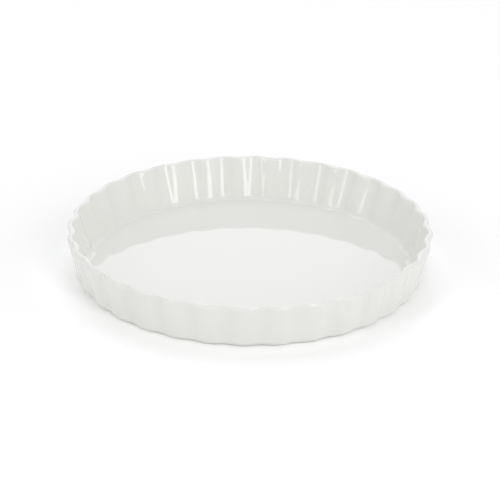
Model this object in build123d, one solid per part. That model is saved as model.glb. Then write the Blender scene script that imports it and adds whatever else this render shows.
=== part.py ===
from build123d import *
import os
from math import atan2, ceil, cos, degrees, radians, sin, sqrt, tan

# Fluted quiche dish of white glazed porcelain, formed and fired as one piece.
# Millimetres and degrees, +Z up. The origin is the middle of the dish, on the surface that it stands on.

# The whole dish, measured over the lobes of its flutes
rim_diameter = 280.0
dish_height = 36.0
wall_lean = 13.6

# The flutes: lobes that swell outward, with creases between them. The wall's thickness makes the lobes
# wider than the creases on the outer face, and narrower than them on the inner one.
flute_count = 32
outer_crease_share = 0.4
inner_crease_share = 0.58
rim_flute_depth = 3.0
foot_flute_depth = 1.6
inner_rim_flute_depth = 3.0
inner_floor_flute_depth = 1.6

# Thickness of the clay, measured level at the lobes and upright in the floor
rim_wall = 4.3
base_wall = 7.9
floor_thickness = 3.2

# Rounded edges: the lip is rounded further where it swells, outward at the lobes and inward at the creases
lip_lobe_radius = 2.8
lip_crease_radius = 1.3
lip_inner_lobe_radius = 1.2
lip_inner_crease_radius = 2.4
inner_corner_radius = 5.0
foot_edge_radius = 5.5

# Each rounded edge is a row of narrow bands, which turn by this angle at most from one to the next
band_angle = 24.0

# The foot ring and the shallow round hollow that it encloses
foot_ring_width = 5.0
foot_ring_height = 0.8
foot_ring_slope = 45.0

# How far a cutting shape runs past the face that it opens
cut_overrun = 2.0

half_pitch = 180.0 / flute_count
floor_height = foot_ring_height + floor_thickness


def slide(low, high, value_low, value_high, height):
    """A value that changes evenly with height, and is carried on past both heights."""
    return value_low + (value_high - value_low) * (height - low) / (high - low)


def outer_lobe(height):
    """Radius of the outer wall over its lobes. The round of the lip touches the dish's widest circle."""
    lean = radians(wall_lean)
    lip_level = dish_height - lip_lobe_radius
    wall_at_lip_level = rim_diameter / 2 - lip_lobe_radius + lip_lobe_radius / cos(lean)
    return wall_at_lip_level + (height - lip_level) * tan(lean)


def outer_crease(height):
    """Radius of the outer wall in its creases."""
    return outer_lobe(height) - slide(0, dish_height, foot_flute_depth, rim_flute_depth, height)


def inner_lobe(height):
    """Radius of the inner wall in its lobes."""
    floor_radius = outer_lobe(floor_height) - base_wall
    rim_radius = outer_lobe(dish_height) - rim_wall
    return slide(floor_height, dish_height, floor_radius, rim_radius, height)


def inner_crease(height):
    """Radius of the inner wall in its creases."""
    depth = slide(floor_height, dish_height, inner_floor_flute_depth, inner_rim_flute_depth, height)
    return inner_lobe(height) - depth


def lean_of(wall):
    """Lean of a wall from upright, in degrees."""
    return degrees(atan2(wall(dish_height) - wall(0), dish_height))


def round_edge(middle_radius, middle_height, bend, *angles):
    """Radius and height of each step along a rounded edge, in the upright half section of the dish."""
    steps = []
    for first, last in zip(angles, angles[1:]):
        bands = ceil(abs(last - first) / band_angle)
        for band in range(bands):
            angle = radians(slide(0, bands, first, last, band))
            steps.append((middle_radius + bend * cos(angle), middle_height + bend * sin(angle)))
    end = radians(angles[-1])
    steps.append((middle_radius + bend * cos(end), middle_height + bend * sin(end)))
    return steps


def lip_middle(wall, bend, side):
    """Radius of the middle of a lip's round, which runs smoothly out of the wall below it.

    The side is 1 for the outer face of the dish and -1 for the inner one.
    """
    return wall(dish_height - bend) - side * bend / cos(radians(lean_of(wall)))


def below_lip(wall, bend, side, height):
    """Radius at one height, on a wall or on the round of the lip above it."""
    rise = height - dish_height + bend
    if rise < -side * bend * sin(radians(lean_of(wall))):
        return wall(height)
    return lip_middle(wall, bend, side) + side * sqrt(max(bend**2 - rise**2, 0))


def foot_edge_middle():
    """Radius of the middle of the round under the wall, where the dish meets what it stands on."""
    return outer_lobe(foot_edge_radius) - foot_edge_radius / cos(radians(wall_lean))


def flute_outline(lobe_radius, flute_depth, crease_share, height):
    """Closed ring of flutes at one height, each flute a lobe arc that runs smoothly into a crease arc."""
    crease_radius = lobe_radius - flute_depth
    pitch_cosine = cos(radians(half_pitch))
    span_squared = lobe_radius**2 + crease_radius**2 - 2 * lobe_radius * crease_radius * pitch_cosine
    crease_bend = crease_share * span_squared / (2 * flute_depth)
    crease_middle = crease_radius + crease_bend
    # The lobe's bend follows from both arcs having one tangent where they meet.
    middle_squared = lobe_radius**2 + crease_middle**2 - 2 * lobe_radius * crease_middle * pitch_cosine
    lobe_reach = lobe_radius + crease_bend - crease_middle * pitch_cosine
    lobe_bend = (middle_squared - crease_bend**2) / (2 * lobe_reach)

    lobe_centre = Vector(lobe_radius - lobe_bend, 0, 0)
    crease_centre = Vector(crease_middle, 0, 0).rotate(Axis.Z, half_pitch)
    meeting = lobe_centre + (crease_centre - lobe_centre).normalized() * lobe_bend
    meeting_before = Vector(meeting.X, -meeting.Y, 0)
    crest = Vector(lobe_radius, 0, 0)
    crease = Vector(crease_radius, 0, 0).rotate(Axis.Z, half_pitch)
    lobe_arc = Edge.make_three_point_arc(meeting_before, crest, meeting)
    crease_arc = Edge.make_three_point_arc(meeting, crease, meeting_before.rotate(Axis.Z, 2 * half_pitch))

    arcs = []
    for flute in range(flute_count):
        arcs.append(lobe_arc.rotate(Axis.Z, 2 * half_pitch * flute))
        arcs.append(crease_arc.rotate(Axis.Z, 2 * half_pitch * flute))
    return Pos(0, 0, height) * Face(Wire(arcs))


def outer_form():
    """The dish as a solid block, fluted all the way from its rounded lower edge to its rounded lip."""
    outlines = []
    foot_steps = round_edge(foot_edge_middle(), foot_edge_radius, foot_edge_radius, -90, -wall_lean)
    for radius, height in foot_steps:
        depth = outer_lobe(height) - outer_crease(height)
        outlines.append(flute_outline(radius, depth, outer_crease_share, height))
    lip_level = dish_height - lip_lobe_radius
    middle = lip_middle(outer_lobe, lip_lobe_radius, 1)
    lip_steps = round_edge(middle, lip_level, lip_lobe_radius, -wall_lean, 0, 90)
    for radius, height in lip_steps:
        crease_radius = below_lip(outer_crease, lip_crease_radius, 1, height)
        outlines.append(flute_outline(radius, radius - crease_radius, outer_crease_share, height))
    return loft(outlines, ruled=True)


def inner_form():
    """The space inside the dish: rounded into the floor, fluted up the wall and opening out over the lip."""
    outlines = []
    lobe_lean = lean_of(inner_lobe)
    corner_level = floor_height + inner_corner_radius
    corner_middle = inner_lobe(corner_level) - inner_corner_radius / cos(radians(lobe_lean))
    corner_steps = round_edge(corner_middle, corner_level, inner_corner_radius, -90, -lobe_lean)
    for radius, height in corner_steps:
        depth = inner_lobe(height) - inner_crease(height)
        outlines.append(flute_outline(radius, depth, inner_crease_share, height))
    lip_level = dish_height - lip_inner_crease_radius
    middle = lip_middle(inner_crease, lip_inner_crease_radius, -1)
    crease_lean = lean_of(inner_crease)
    lip_steps = round_edge(middle, lip_level, lip_inner_crease_radius, 180 - crease_lean, 90)
    for radius, height in lip_steps:
        lobe_radius = below_lip(inner_lobe, lip_inner_lobe_radius, -1, height)
        outlines.append(flute_outline(lobe_radius, lobe_radius - radius, inner_crease_share, height))
    opening_radius = lip_middle(inner_lobe, lip_inner_lobe_radius, -1)
    opening_depth = opening_radius - middle
    opening_height = dish_height + cut_overrun
    outlines.append(flute_outline(opening_radius, opening_depth, inner_crease_share, opening_height))
    return loft(outlines, ruled=True)


def foot_hollow():
    """The shallow round hollow under the floor, which leaves the foot ring standing."""
    ring_inner_radius = foot_edge_middle() - foot_flute_depth - foot_ring_width
    top_radius = ring_inner_radius - foot_ring_height * tan(radians(foot_ring_slope))
    profile = Polyline(
        (0, -cut_overrun),
        (ring_inner_radius, -cut_overrun),
        (ring_inner_radius, 0),
        (top_radius, foot_ring_height),
        (0, foot_ring_height),
        close=True,
    )
    return revolve(Plane.XZ * make_face(profile), Axis.Z)


def dish():
    """The whole dish: the fluted block, hollowed from above and from below."""
    return outer_form() - inner_form() - foot_hollow()


os.makedirs("parts", exist_ok=True)
export_step(dish(), "parts/dish.step")
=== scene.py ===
import math

import bpy
from mathutils import Matrix, Vector


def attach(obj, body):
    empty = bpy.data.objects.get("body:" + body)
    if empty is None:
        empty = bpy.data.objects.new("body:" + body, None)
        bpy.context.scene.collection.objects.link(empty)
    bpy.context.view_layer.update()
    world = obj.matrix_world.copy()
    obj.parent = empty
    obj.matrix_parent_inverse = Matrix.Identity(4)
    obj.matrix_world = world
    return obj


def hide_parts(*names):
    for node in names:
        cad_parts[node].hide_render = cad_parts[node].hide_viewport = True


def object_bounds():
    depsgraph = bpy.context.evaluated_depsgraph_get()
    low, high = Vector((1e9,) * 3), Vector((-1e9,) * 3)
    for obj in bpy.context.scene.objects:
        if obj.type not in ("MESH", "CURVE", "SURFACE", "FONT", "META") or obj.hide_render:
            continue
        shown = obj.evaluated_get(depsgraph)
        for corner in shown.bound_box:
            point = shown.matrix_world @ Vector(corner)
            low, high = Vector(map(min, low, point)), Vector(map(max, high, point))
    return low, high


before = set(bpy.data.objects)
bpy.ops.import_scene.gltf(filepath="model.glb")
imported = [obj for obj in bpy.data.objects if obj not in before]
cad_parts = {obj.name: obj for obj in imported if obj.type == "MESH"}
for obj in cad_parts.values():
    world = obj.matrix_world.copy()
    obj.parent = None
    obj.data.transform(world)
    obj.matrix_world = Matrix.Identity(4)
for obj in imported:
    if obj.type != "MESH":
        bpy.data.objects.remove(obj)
CAD_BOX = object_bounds()

bl_info = {
    "name": "Fluted quiche dish",
    "version": (1, 0, 0),
    "blender": (4, 5, 0),
    "location": "3D View > Sidebar > Quiche dish",
    "description": "A white glazed porcelain quiche dish with a fluted wall, and a plain studio round it",
    "category": "Add Mesh",
}

MM = 0.001
PHOTO_SIDE = 500.0
SENSOR_WIDTH = 36.0

# How finely the dish is divided: steps round each flute, steps along the round at each corner of its
# section, and cuts in the straight stretch that follows each corner
STEPS_PER_FLUTE = 36
ROUND_STEPS = (0, 2, 3, 12, 14, 8, 14, 0)
STRETCH_CUTS = (2, 0, 2, 8, 0, 8, 3, 0)
MERGE_DISTANCE = 0.001 * MM

# The small rounds of the foot ring, and the number of the section's corner between outer wall and lip
SOFT_EDGE = 0.3 * MM
LIP_CORNER = 4.0

# The wandering of the fired walls: its noise cells a metre, how much of that scale counts in height, the
# radii between which it sets in sideways, and the heights between which it sets in downward
DRIFT_SCALE = 22.0
DRIFT_STRETCH = 0.4
DRIFT_RADII = (60.0 * MM, 125.0 * MM)
DRIFT_HEIGHTS = (2.0 * MM, 30.0 * MM)

# The glaze. Its noises, in cells a metre, are broad for the tone, middling for the ripple and fine for the
# grain. Its relief is counted in shares of one millimetre.
BROAD_SCALE = 14.0
RIPPLE_SCALE = 90.0
FINE_SCALE = 420.0
TONE_RANGE = (0.35, 0.65)
SPECKLE_RANGE = (0.40, 0.60)
SPECKLE_SHADE = 0.92
BARE_EDGE = (0.10 * MM, 0.45 * MM)
RELIEF = 1.0 * MM
RIPPLE_RELIEF = 0.010
GRAIN_RELIEF = 0.001
BARE_RELIEF = 0.05
BROAD_ROUGHNESS = 0.02
BARE_ROUGHNESS = 0.6
REFRACTION = 1.52

# The floor's size, its gap below the dish, its grain in cells a metre and how much that lightens it
FLOOR_RADIUS = 4.0
FLOOR_SIDES = 64
FLOOR_DROP = 0.02 * MM
FLOOR_SCALE = 3.0
FLOOR_LIGHTENING = 1.01

# How far the camera sees, in metres
CLIP_END = 50.0

# Each lamp has a name, the setting that holds its brightness, a tint, a bearing and an elevation in degrees,
# its distance, width and height in metres, and whether the glaze mirrors it.
WHITE = (1.0, 1.0, 1.0)
LAMPS = (
    ("left softbox", "left_box", WHITE, -47.0, 31.0, 2.5, 0.72, 2.0, True),
    ("right softbox", "right_box", WHITE, 32.0, 31.0, 2.5, 0.72, 2.0, True),
    ("front strip", "front_strip", WHITE, -5.0, 8.0, 3.0, 3.0, 0.5, False),
    ("left panel", "left_panel", WHITE, -95.0, 22.0, 3.0, 2.2, 1.8, False),
    ("right panel", "right_panel", WHITE, 85.0, 22.0, 3.0, 2.2, 1.8, False),
    ("back panel", "back_panel", (0.92, 0.85, 1.0), 180.0, 26.5, 3.0, 3.5, 0.75, True),
    ("key lamp", "key_lamp", (0.95, 0.965, 1.0), -172.0, 60.0, 2.5, 1.5, 1.5, True),
)


# Sizes and finishes that a user may change

def length(name, description, default):
    """A size in metres."""
    return bpy.props.FloatProperty(name=name, description=description, default=default, min=0.0,
                                   precision=5, unit="LENGTH")


def angle(name, description, default):
    """An angle given in degrees and kept in radians."""
    return bpy.props.FloatProperty(name=name, description=description, default=math.radians(default),
                                   subtype="ANGLE")


def share(name, description, default):
    """A number from zero to one."""
    return bpy.props.FloatProperty(name=name, description=description, default=default, min=0.0, max=1.0,
                                   subtype="FACTOR")


def brightness(name, description, default):
    """How bright a lamp or the world looks, where 1 is white."""
    return bpy.props.FloatProperty(name=name, description=description, default=default, min=0.0)


def colour(name, description, default):
    """A linear colour."""
    return bpy.props.FloatVectorProperty(name=name, description=description, default=default, size=3,
                                         min=0.0, max=1.0, subtype="COLOR")


class DishSizes(bpy.types.PropertyGroup):
    """Sizes of the dish. Its radii are measured to the lobes of the flutes."""
    rim_radius: length("Rim Radius", "From the middle of the dish to its widest point", CAD_BOX[1].x)
    height: length("Height", "From the surface that it stands on to the top of the lip", CAD_BOX[1].z)
    wall_lean: angle("Wall Lean", "Lean of the outer wall from upright", 13.6)
    flutes: bpy.props.IntProperty(name="Flutes", description="Lobes round the dish", default=32, min=3)
    crease_share: share("Crease Share", "Share of an outer flute's bend that its crease takes", 0.4)
    inner_share: share("Inner Share", "Share of an inner flute's bend that its crease takes", 0.58)
    rim_depth: length("Rim Depth", "Depth of the outer flutes at the rim", 3.0 * MM)
    foot_depth: length("Foot Depth", "Depth of the outer flutes at the foot", 1.6 * MM)
    inner_rim_depth: length("Inner Rim Depth", "Depth of the inner flutes at the rim", 3.0 * MM)
    inner_floor_depth: length("Inner Floor Depth", "Depth of the inner flutes at the floor", 1.6 * MM)
    rim_wall: length("Rim Wall", "Level thickness of the wall at the rim", 4.3 * MM)
    base_wall: length("Base Wall", "Level thickness of the wall at the floor", 7.9 * MM)
    floor_height: length("Floor Height", "Top of the floor above the foot", 4.0 * MM)
    lobe_lip: length("Lobe Lip", "Outer round of the lip over a lobe", 2.8 * MM)
    crease_lip: length("Crease Lip", "Outer round of the lip in a crease", 1.3 * MM)
    lobe_inner_lip: length("Lobe Inner Lip", "Round between the lip and the inner wall in a lobe", 1.2 * MM)
    crease_inner_lip: length(
        "Crease Inner Lip", "Round between the lip and the inner wall in a crease", 2.4 * MM)
    bow: length("Bow", "How far the inner wall bows outward halfway up", 0.2 * MM)
    corner: length("Corner", "Round between the floor and the inner wall", 5.0 * MM)
    foot_edge: length("Foot Edge", "Round between the outer wall and the foot", 5.5 * MM)
    ring_width: length("Ring Width", "Level width of the foot ring in the creases", 5.0 * MM)
    ring_height: length("Ring Height", "Depth of the hollow that the foot ring encloses", 0.8 * MM)
    unevenness: length("Unevenness", "How far the fired walls wander from their true shape", 0.12 * MM)
    seed: bpy.props.IntProperty(name="Seed", description="Chooses the unevenness", default=7)


class GlazeLook(bpy.types.PropertyGroup):
    """Finish of the glaze and of the bare foot ring."""
    glaze: colour("Glaze", "Glazed porcelain", (0.855, 0.857, 0.822))
    pooled: colour("Pooled Glaze", "Glaze that has gathered thickly", (0.848, 0.852, 0.817))
    bare: colour("Bare Clay", "The unglazed foot ring", (0.66, 0.64, 0.60))
    roughness: share("Roughness", "Softness of the glaze's reflections", 0.02)


class StudioLook(bpy.types.PropertyGroup):
    """Floor, lamps and camera."""
    floor: colour("Floor", "The pale floor", (0.94, 0.94, 0.94))
    lift: share("White Lift", "How much whiter the floor looks than it is lit", 0.155)
    world: brightness("World", "Even light from all round", 0.385)
    left_box: brightness("Left Softbox", "Brightness of the upright softbox in front on the left", 2.35)
    right_box: brightness("Right Softbox", "Brightness of the upright softbox in front on the right", 3.55)
    front_strip: brightness("Front Strip", "Brightness of the low strip in front", 0.8)
    left_panel: brightness("Left Panel", "Brightness of the wide panel on the left", 0.85)
    right_panel: brightness("Right Panel", "Brightness of the wide panel on the right", 1.3)
    back_panel: brightness("Back Panel", "Brightness of the low panel behind the dish", 0.8)
    key_lamp: brightness("Key Lamp", "Brightness of the lamp high up behind the dish", 2.25)
    azimuth: angle("Azimuth", "Turn of the camera round the dish", 1.83)
    elevation: angle("Elevation", "Height of the camera as an angle at the dish", 25.61)
    roll: angle("Roll", "Turn of the camera on its own line of sight", 0.63)
    distance: length("Distance", "From the camera to the middle of the foot", 2.1)
    lens: bpy.props.FloatProperty(
        name="Lens", description="Focal length in millimetres", default=196.2, min=1.0)
    origin_pixel: bpy.props.FloatVectorProperty(
        name="Origin Pixel", description="Where the middle of the foot is seen in the photo",
        default=(249.5, 269.2), size=2)


# Building blocks for node trees

class Socket:
    """A node's output. Python arithmetic on it adds the Math nodes that do the same."""

    def __init__(self, net, link):
        self.net = net
        self.link = link

    def __add__(self, other):
        return self.net.maths("ADD", self, other)

    def __radd__(self, other):
        return self.net.maths("ADD", other, self)

    def __sub__(self, other):
        return self.net.maths("SUBTRACT", self, other)

    def __rsub__(self, other):
        return self.net.maths("SUBTRACT", other, self)

    def __mul__(self, other):
        return self.net.maths("MULTIPLY", self, other)

    def __rmul__(self, other):
        return self.net.maths("MULTIPLY", other, self)

    def __truediv__(self, other):
        return self.net.maths("DIVIDE", self, other)

    def __rtruediv__(self, other):
        return self.net.maths("DIVIDE", other, self)


class Net:
    """Adds nodes to one tree."""

    def __init__(self, tree):
        self.tree = tree

    def node(self, kind, settings=None, values=None, output=0):
        """Adds a node, sets its settings and then its sockets, and gives back one of its outputs."""
        made = self.tree.nodes.new(kind)
        for key, value in (settings or {}).items():
            setattr(made, key, value)
        for key, value in (values or {}).items():
            self.feed(made.inputs[key], value)
        return Socket(self, made.outputs[output]) if len(made.outputs) else None

    def feed(self, socket, value):
        """Gives a socket a plain value or another node's output."""
        if isinstance(value, Socket):
            self.tree.links.new(value.link, socket)
        else:
            socket.default_value = value

    def maths(self, operation, *terms):
        """One Math node."""
        return self.node("ShaderNodeMath", {"operation": operation}, dict(enumerate(terms)))

    def point(self, x, y, z):
        """A vector from its three parts."""
        return self.node("ShaderNodeCombineXYZ", values={"X": x, "Y": y, "Z": z})

    def axis(self, vector, name):
        """One part of a vector."""
        return self.node("ShaderNodeSeparateXYZ", values={"Vector": vector}, output=name)

    def ramp(self, value, low, high, start=0.0, end=1.0):
        """Goes smoothly from start to end while the value goes from low to high."""
        values = {"Value": value, "From Min": low, "From Max": high, "To Min": start, "To Max": end}
        return self.node("ShaderNodeMapRange", {"interpolation_type": "SMOOTHSTEP"}, values)

    def noise(self, place, scale, detail):
        """A noise from zero to one."""
        return self.node("ShaderNodeTexNoise", None, {"Vector": place, "Scale": scale, "Detail": detail})

    def seen(self):
        """1 for rays from the camera, and for those that it sees mirrored or through glass."""
        path = self.tree.nodes.new("ShaderNodeLightPath")
        camera, glossy, through = (Socket(self, path.outputs["Is " + kind + " Ray"])
                                   for kind in ("Camera", "Glossy", "Transmission"))
        return self.maths("MINIMUM", camera + glossy + through, 1.0)

    def blend(self, factor, first, second):
        """Mixes two colours. The node's sockets 6 and 7 take them, and its output 2 gives the mix."""
        made = self.tree.nodes.new("ShaderNodeMix")
        made.data_type = "RGBA"
        self.feed(made.inputs[0], factor)
        self.feed(made.inputs[6], first)
        self.feed(made.inputs[7], second)
        return Socket(self, made.outputs[2])

    def blend_places(self, factor, first, second):
        """Mixes two vectors. The node's sockets 4 and 5 take them, and its output 1 gives the mix."""
        values = {0: factor, 4: first, 5: second}
        return self.node("ShaderNodeMix", {"data_type": "VECTOR"}, values, 1)

    def choose(self, kind, choices):
        """Gives each point the choice that has the point's own index."""
        made = self.tree.nodes.new("GeometryNodeIndexSwitch")
        made.data_type = kind
        while len(made.index_switch_items) < len(choices):
            made.index_switch_items.new()
        self.feed(made.inputs[0], self.node("GeometryNodeInputIndex"))
        for place, choice in enumerate(choices):
            self.feed(made.inputs[place + 1], choice)
        return Socket(self, made.outputs[0])


# The fluted form

def dish_inputs():
    """Each named input of the tree and the property that sets it."""
    return [(name.replace("_", " ").title(), name) for name in DishSizes.__annotations__]


class Section:
    """Upright half section of the dish: a row of points from under its middle, over the lip to the floor."""

    def __init__(self, net, sizes, lobe):
        tangent = net.maths("TANGENT", sizes["wall_lean"])
        lip_level = sizes["height"] - sizes["lobe_lip"]
        widest = sizes["rim_radius"] - sizes["lobe_lip"]
        wall_at_lip = widest + sizes["lobe_lip"] / net.maths("COSINE", sizes["wall_lean"])
        foot_lobe = wall_at_lip - lip_level * tangent
        rim_lobe = foot_lobe + sizes["height"] * tangent
        floor_lobe = foot_lobe + sizes["floor_height"] * tangent - sizes["base_wall"]
        half_turn = net.maths("TANGENT", (math.radians(90.0) - sizes["wall_lean"]) * 0.5)
        ring_outer = foot_lobe - sizes["foot_edge"] * half_turn - sizes["foot_depth"]
        ring_inner = ring_outer - sizes["ring_width"]
        drop = 0.0 if lobe else 1.0
        corners = [
            (0.0, sizes["ring_height"]),
            (ring_inner - sizes["ring_height"], sizes["ring_height"]),
            (ring_inner, 0.0),
            (foot_lobe - sizes["foot_depth"] * drop, 0.0),
            (rim_lobe - sizes["rim_depth"] * drop, sizes["height"]),
            (rim_lobe - sizes["rim_wall"] - sizes["inner_rim_depth"] * drop, sizes["height"]),
            (floor_lobe - sizes["inner_floor_depth"] * drop, sizes["floor_height"]),
            (0.0, sizes["floor_height"]),
        ]
        side = "lobe" if lobe else "crease"
        rounds = [0.0, SOFT_EDGE, SOFT_EDGE, sizes["foot_edge"], sizes[side + "_lip"],
                  sizes[side + "_inner_lip"], sizes["corner"], 0.0]
        places = net.choose("VECTOR", [net.point(radius, 0.0, height) for radius, height in corners])
        points = net.node("GeometryNodePoints", values={"Count": len(corners), "Position": places})
        marked = net.node("GeometryNodeStoreNamedAttribute", {"data_type": "INT"}, {
            "Geometry": points, "Name": "corner", "Value": net.node("GeometryNodeInputIndex")})
        curve = net.node("GeometryNodePointsToCurves", values={"Points": marked})
        rounded = net.node("GeometryNodeFilletCurve", {"mode": "POLY"}, {
            "Curve": curve, "Count": net.choose("INT", ROUND_STEPS), "Radius": net.choose("FLOAT", rounds),
            "Limit Radius": True})
        corner = net.node("GeometryNodeInputNamedAttribute", {"data_type": "INT"}, {"Name": "corner"})
        following = net.node("GeometryNodeFieldAtIndex", {"data_type": "INT", "domain": "POINT"}, {
            "Index": net.node("GeometryNodeInputIndex") + 1.0, "Value": corner})
        cuts = 0.0
        for place, count in enumerate(STRETCH_CUTS):
            here = net.maths("COMPARE", corner, float(place), 0.1)
            cuts = cuts + here * float(count)
        self.curve = net.node("GeometryNodeSubdivideCurve", values={
            "Curve": rounded, "Cuts": cuts * net.maths("COMPARE", following - corner, 1.0, 0.1)})
        self.net = net

    def count(self):
        """How many points the section has."""
        return self.net.node("GeometryNodeAttributeDomainSize", {"component": "CURVE"}, {
            "Geometry": self.curve}, "Point Count")

    def at(self, row):
        """Where one point of the section lies."""
        return self.net.node("GeometryNodeSampleIndex", {"data_type": "FLOAT_VECTOR", "domain": "POINT"}, {
            "Geometry": self.curve, "Value": self.net.node("GeometryNodeInputPosition"), "Index": row})

    def corner_at(self, row):
        """The number of the corner that one point of the section belongs to or follows."""
        corner = self.net.node("GeometryNodeInputNamedAttribute", {"data_type": "INT"}, {"Name": "corner"})
        return self.net.node("GeometryNodeSampleIndex", {"data_type": "INT", "domain": "POINT"}, {
            "Geometry": self.curve, "Value": corner, "Index": row})


def flute_share(net, lobe, depth, crease_share, half_pitch, turn):
    """From 1 at the crest of a lobe to 0 in the crease: two arcs that run into each other smoothly."""
    crease = lobe - depth
    pitch_cosine = net.maths("COSINE", half_pitch)
    span = lobe * lobe + crease * crease - 2.0 * lobe * crease * pitch_cosine
    crease_bend = crease_share * span / (2.0 * depth)
    crease_middle = crease + crease_bend
    reach = lobe + crease_bend - crease_middle * pitch_cosine
    gap = lobe * lobe + crease_middle * crease_middle - 2.0 * lobe * crease_middle * pitch_cosine
    lobe_bend = (gap - crease_bend * crease_bend) / (2.0 * reach)
    lobe_middle = lobe - lobe_bend
    across = crease_middle * pitch_cosine - lobe_middle
    aside = crease_middle * net.maths("SINE", half_pitch)
    scale = lobe_bend / net.maths("SQRT", across * across + aside * aside)
    meeting = net.maths("ARCTAN2", aside * scale, lobe_middle + across * scale)
    lobe_side = lobe_middle * net.maths("SINE", turn)
    on_lobe = lobe_middle * net.maths("COSINE", turn) + net.maths(
        "SQRT", lobe_bend * lobe_bend - lobe_side * lobe_side)
    rest = half_pitch - turn
    crease_side = crease_middle * net.maths("SINE", rest)
    on_crease = crease_middle * net.maths("COSINE", rest) - net.maths(
        "SQRT", crease_bend * crease_bend - crease_side * crease_side)
    past = net.maths("GREATER_THAN", turn, meeting)
    radius = on_lobe + (on_crease - on_lobe) * past
    return (radius - crease) / depth


def dish_tree(material):
    """The whole dish as one closed form, turned round its middle from two sections, of lobe and crease."""
    tree = bpy.data.node_groups.new("fluted dish", "GeometryNodeTree")
    tree.is_modifier = True
    net = Net(tree)
    tree.interface.new_socket("Geometry", in_out="OUTPUT", socket_type="NodeSocketGeometry")
    for label, name in dish_inputs():
        whole = name in ("flutes", "seed")
        kind = "NodeSocketInt" if whole else "NodeSocketFloat"
        tree.interface.new_socket(label, in_out="INPUT", socket_type=kind)
    source = tree.nodes.new("NodeGroupInput")
    sizes = {name: Socket(net, source.outputs[label]) for label, name in dish_inputs()}

    lobe = Section(net, sizes, lobe=True)
    crease = Section(net, sizes, lobe=False)
    rows = lobe.count()
    columns = sizes["flutes"] * float(STEPS_PER_FLUTE)
    grid = net.node("GeometryNodeMeshGrid", values={"Vertices X": columns + 1.0, "Vertices Y": rows})
    index = net.node("GeometryNodeInputIndex")
    column = net.maths("FLOOR", (index + 0.5) / rows)
    row = index - column * rows
    around = column / columns * math.tau
    half_pitch = math.pi / sizes["flutes"]
    flute_place = net.maths("FRACT", column / float(STEPS_PER_FLUTE) + 0.5) - 0.5
    turn = net.maths("ABSOLUTE", flute_place) * 2.0 * half_pitch
    outer_radius = sizes["rim_radius"]
    outer = flute_share(net, outer_radius, sizes["rim_depth"], sizes["crease_share"], half_pitch, turn)
    inner_radius = outer_radius - sizes["rim_wall"]
    inner = flute_share(net, inner_radius, sizes["inner_rim_depth"], sizes["inner_share"], half_pitch, turn)
    inside = net.maths("GREATER_THAN", lobe.corner_at(row), LIP_CORNER + 0.5)
    weight = outer + (inner - outer) * inside
    place = net.blend_places(weight, crease.at(row), lobe.at(row))
    radius = net.axis(place, "X")
    height = net.axis(place, "Z")
    up_wall = (height - sizes["floor_height"]) / (sizes["height"] - sizes["floor_height"])
    # This bow is nothing at the floor and at the lip, and whole halfway up.
    radius = radius + inside * sizes["bow"] * 4.0 * up_wall * (1.0 - up_wall)
    cosine = net.maths("COSINE", around)
    sine = net.maths("SINE", around)

    drift = net.node("ShaderNodeTexNoise", {"noise_dimensions": "4D"}, {
        "Vector": net.point(radius * cosine, radius * sine, height * DRIFT_STRETCH), "W": sizes["seed"],
        "Scale": DRIFT_SCALE, "Detail": 1.0}, "Color")
    inward = sizes["unevenness"] * net.axis(drift, "X") * net.ramp(radius, *DRIFT_RADII)
    down = sizes["unevenness"] * net.axis(drift, "Y") * net.ramp(height, *DRIFT_HEIGHTS)
    radius = radius - inward
    height = height - down

    placed = net.node("GeometryNodeSetPosition", values={
        "Geometry": grid, "Position": net.point(radius * cosine, radius * sine, height)})
    closed = net.node("GeometryNodeMergeByDistance", values={"Geometry": placed, "Distance": MERGE_DISTANCE})
    smooth = net.node("GeometryNodeSetShadeSmooth", values={"Geometry": closed, "Shade Smooth": True})
    real = net.node("GeometryNodeRealizeInstances", values={"Geometry": smooth})
    covered = net.node("GeometryNodeSetMaterial", values={"Geometry": real, "Material": material})
    sink = tree.nodes.new("NodeGroupOutput")
    tree.links.new(covered.link, sink.inputs[0])
    return tree


def made_from_tree(name, tree, values):
    """A plain mesh object made by a node tree, with the tree's named inputs set first."""
    scratch = bpy.data.objects.new(name + " source", bpy.data.meshes.new(name + " source"))
    bpy.context.scene.collection.objects.link(scratch)
    modifier = scratch.modifiers.new("Form", "NODES")
    modifier.node_group = tree
    for item in tree.interface.items_tree:
        if item.in_out == "INPUT":
            modifier[item.identifier] = values[item.name]
    bpy.context.view_layer.update()
    evaluated = scratch.evaluated_get(bpy.context.evaluated_depsgraph_get())
    mesh = bpy.data.meshes.new_from_object(evaluated)
    mesh.name = name
    # The source mesh has no material, which leaves an empty slot in front of the tree's own.
    if mesh.materials[0] is None:
        mesh.materials.pop(index=0)
    bpy.data.objects.remove(scratch)
    piece = bpy.data.objects.new(name, mesh)
    bpy.context.scene.collection.objects.link(piece)
    return piece


# Materials

def new_material(name):
    """An empty material, its net and its surface output."""
    material = bpy.data.materials.new(name)
    material.use_nodes = True
    material.node_tree.nodes.clear()
    net = Net(material.node_tree)
    surface = material.node_tree.nodes.new("ShaderNodeOutputMaterial")
    return material, net, surface


def opaque(colour_value):
    """A colour with nothing see-through about it."""
    return (*colour_value, 1.0)


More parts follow.
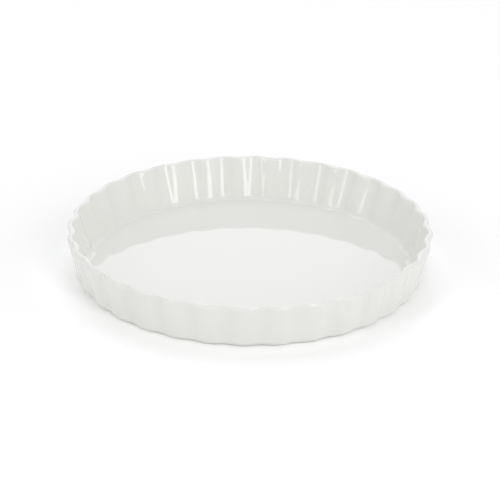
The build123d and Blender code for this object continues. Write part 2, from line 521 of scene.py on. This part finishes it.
def glaze_material(look):
    """White glaze that varies very little, over clay that is left bare under the foot ring."""
    material, net, surface = new_material("glazed porcelain")
    place = net.node("ShaderNodeTexCoord", output="Object")
    height = net.axis(place, "Z")
    broad = net.noise(place, BROAD_SCALE, 2.0)
    fine = net.noise(place, FINE_SCALE, 2.0)
    glaze = net.blend(net.ramp(broad, *TONE_RANGE), opaque(look.glaze), opaque(look.pooled))
    bare = net.ramp(height, *BARE_EDGE, 1.0, 0.0)
    darker = [SPECKLE_SHADE * part for part in look.bare]
    speckle = net.blend(net.ramp(fine, *SPECKLE_RANGE), opaque(look.bare), opaque(darker))
    base = net.blend(bare, glaze, speckle)
    ripple = net.noise(place, RIPPLE_SCALE, 1.0)
    relief = ripple * RIPPLE_RELIEF + fine * (GRAIN_RELIEF + bare * BARE_RELIEF)
    normal = net.node("ShaderNodeBump", None, {"Strength": 1.0, "Distance": RELIEF, "Height": relief})
    shader = net.node("ShaderNodeBsdfPrincipled", None, {
        "Base Color": base,
        "Roughness": look.roughness + broad * BROAD_ROUGHNESS + bare * BARE_ROUGHNESS,
        "Normal": normal,
        "IOR": REFRACTION,
    })
    net.feed(surface.inputs["Surface"], shader)
    return material


def floor_material(look):
    """A plain pale floor that is seen whiter than it is lit, by the camera and in the glaze."""
    material, net, surface = new_material("studio floor")
    place = net.node("ShaderNodeTexCoord", output="Object")
    grain = net.noise(place, FLOOR_SCALE, 2.0)
    lighter = [min(1.0, part * FLOOR_LIGHTENING) for part in look.floor]
    base = net.blend(grain, opaque(look.floor), opaque(lighter))
    matt = net.node("ShaderNodeBsdfDiffuse", None, {"Color": base})
    lift = net.node("ShaderNodeEmission", None, {"Color": opaque(WHITE), "Strength": look.lift})
    lifted = net.node("ShaderNodeAddShader", None, {0: matt, 1: lift})
    mixed = net.node("ShaderNodeMixShader", None, {0: net.seen(), 1: matt, 2: lifted})
    net.feed(surface.inputs["Surface"], mixed)
    return material


# Operators

class QUICHE_OT_dish(bpy.types.Operator):
    """Add the fluted dish"""
    bl_idname = "mesh.quiche_dish_add"
    bl_label = "Add fluted dish"

    def execute(self, context):
        sizes = context.scene.quiche_sizes
        tree = dish_tree(glaze_material(context.scene.quiche_glaze))
        values = {label: getattr(sizes, name) for label, name in dish_inputs()}
        dish = made_from_tree("dish_glazed", tree, values)
        if not len(dish.data.polygons):
            raise RuntimeError("the dish's tree made no faces")
        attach(dish, "root")
        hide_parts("dish")
        return {"FINISHED"}


def bearing(azimuth, elevation):
    """Direction from the dish at an azimuth, counted to the right from the front, and an elevation."""
    level = math.cos(elevation)
    return Vector((math.sin(azimuth) * level, -math.cos(azimuth) * level, math.sin(elevation)))


def soft_lamp(name, look, tint, toward, distance, width, height):
    """An oblong lamp that faces the dish and looks as bright as the look says."""
    data = bpy.data.lights.new(name, "AREA")
    data.shape = "RECTANGLE"
    data.size = width
    data.size_y = height
    data.energy = look * math.pi * width * height
    data.color = tint
    lamp = bpy.data.objects.new(name, data)
    facing = toward.to_track_quat("Z", "Y").to_matrix().to_4x4()
    lamp.matrix_world = Matrix.Translation(toward * distance) @ facing
    lamp.visible_camera = False
    bpy.context.scene.collection.objects.link(lamp)
    return lamp


def photo_camera(look):
    """The photo's view: the middle of the foot lies on the same pixel as in the photo."""
    back = bearing(look.azimuth, look.elevation)
    focal_pixels = look.lens / SENSOR_WIDTH * PHOTO_SIDE
    aside = look.origin_pixel[0] - PHOTO_SIDE / 2
    below = look.origin_pixel[1] - PHOTO_SIDE / 2
    seen = Vector((aside, -below, -focal_pixels)).normalized()
    facing = back.to_track_quat("Z", "Y").to_matrix() @ Matrix.Rotation(look.roll, 3, "Z")
    facing = facing @ seen.rotation_difference(Vector((0.0, 0.0, -1.0))).to_matrix()
    data = bpy.data.cameras.new("photo camera")
    data.lens = look.lens
    data.sensor_width = SENSOR_WIDTH
    data.clip_end = CLIP_END
    camera = bpy.data.objects.new("photo camera", data)
    camera.matrix_world = Matrix.Translation(back * look.distance) @ facing.to_4x4()
    bpy.context.scene.collection.objects.link(camera)
    bpy.context.scene.camera = camera


class QUICHE_OT_studio(bpy.types.Operator):
    """Add the pale floor, the soft lamps and the camera at the photo's angle"""
    bl_idname = "scene.quiche_studio_add"
    bl_label = "Add studio"

    def execute(self, context):
        look = context.scene.quiche_studio
        bpy.ops.mesh.primitive_circle_add(vertices=FLOOR_SIDES, radius=FLOOR_RADIUS, fill_type="NGON",
                                          location=(0.0, 0.0, -FLOOR_DROP))
        floor = context.object
        floor.name = "studio_floor"
        floor.data.materials.append(floor_material(look))
        world = bpy.data.worlds.new("studio light")
        world.use_nodes = True
        world.node_tree.nodes.clear()
        net = Net(world.node_tree)
        even = net.node("ShaderNodeBackground", None, {"Color": opaque(WHITE), "Strength": look.world})
        white = net.node("ShaderNodeBackground", None, {"Color": opaque(WHITE), "Strength": 1.0})
        sky = world.node_tree.nodes.new("ShaderNodeOutputWorld")
        mixed = net.node("ShaderNodeMixShader", None, {0: net.seen(), 1: even, 2: white})
        net.feed(sky.inputs["Surface"], mixed)
        context.scene.world = world
        for name, setting, tint, azimuth, elevation, distance, width, height, mirrored in LAMPS:
            toward = bearing(math.radians(azimuth), math.radians(elevation))
            lamp = soft_lamp(name, getattr(look, setting), tint, toward, distance, width, height)
            lamp.visible_glossy = mirrored
        context.scene.view_settings.view_transform = "Standard"
        photo_camera(look)
        return {"FINISHED"}


class QUICHE_PT_panel(bpy.types.Panel):
    """Lists the operators and the sizes and finishes that they use"""
    bl_label = "Quiche dish"
    bl_idname = "QUICHE_PT_panel"
    bl_space_type = "VIEW_3D"
    bl_region_type = "UI"
    bl_category = "Quiche dish"

    def draw(self, context):
        scene = context.scene
        for operator, group in ((QUICHE_OT_dish, scene.quiche_sizes), (None, scene.quiche_glaze),
                                (QUICHE_OT_studio, scene.quiche_studio)):
            box = self.layout.box()
            if operator:
                box.operator(operator.bl_idname)
            for name in type(group).__annotations__:
                box.prop(group, name)


CLASSES = (DishSizes, GlazeLook, StudioLook, QUICHE_OT_dish, QUICHE_OT_studio, QUICHE_PT_panel)


def register():
    for each in CLASSES:
        bpy.utils.register_class(each)
    bpy.types.Scene.quiche_sizes = bpy.props.PointerProperty(type=DishSizes)
    bpy.types.Scene.quiche_glaze = bpy.props.PointerProperty(type=GlazeLook)
    bpy.types.Scene.quiche_studio = bpy.props.PointerProperty(type=StudioLook)


def unregister():
    del bpy.types.Scene.quiche_studio
    del bpy.types.Scene.quiche_glaze
    del bpy.types.Scene.quiche_sizes
    for each in reversed(CLASSES):
        bpy.utils.unregister_class(each)


def main():
    """Makes the dish and its studio."""
    register()
    bpy.ops.mesh.quiche_dish_add()
    bpy.ops.scene.quiche_studio_add()


if __name__ == "__main__":
    main()
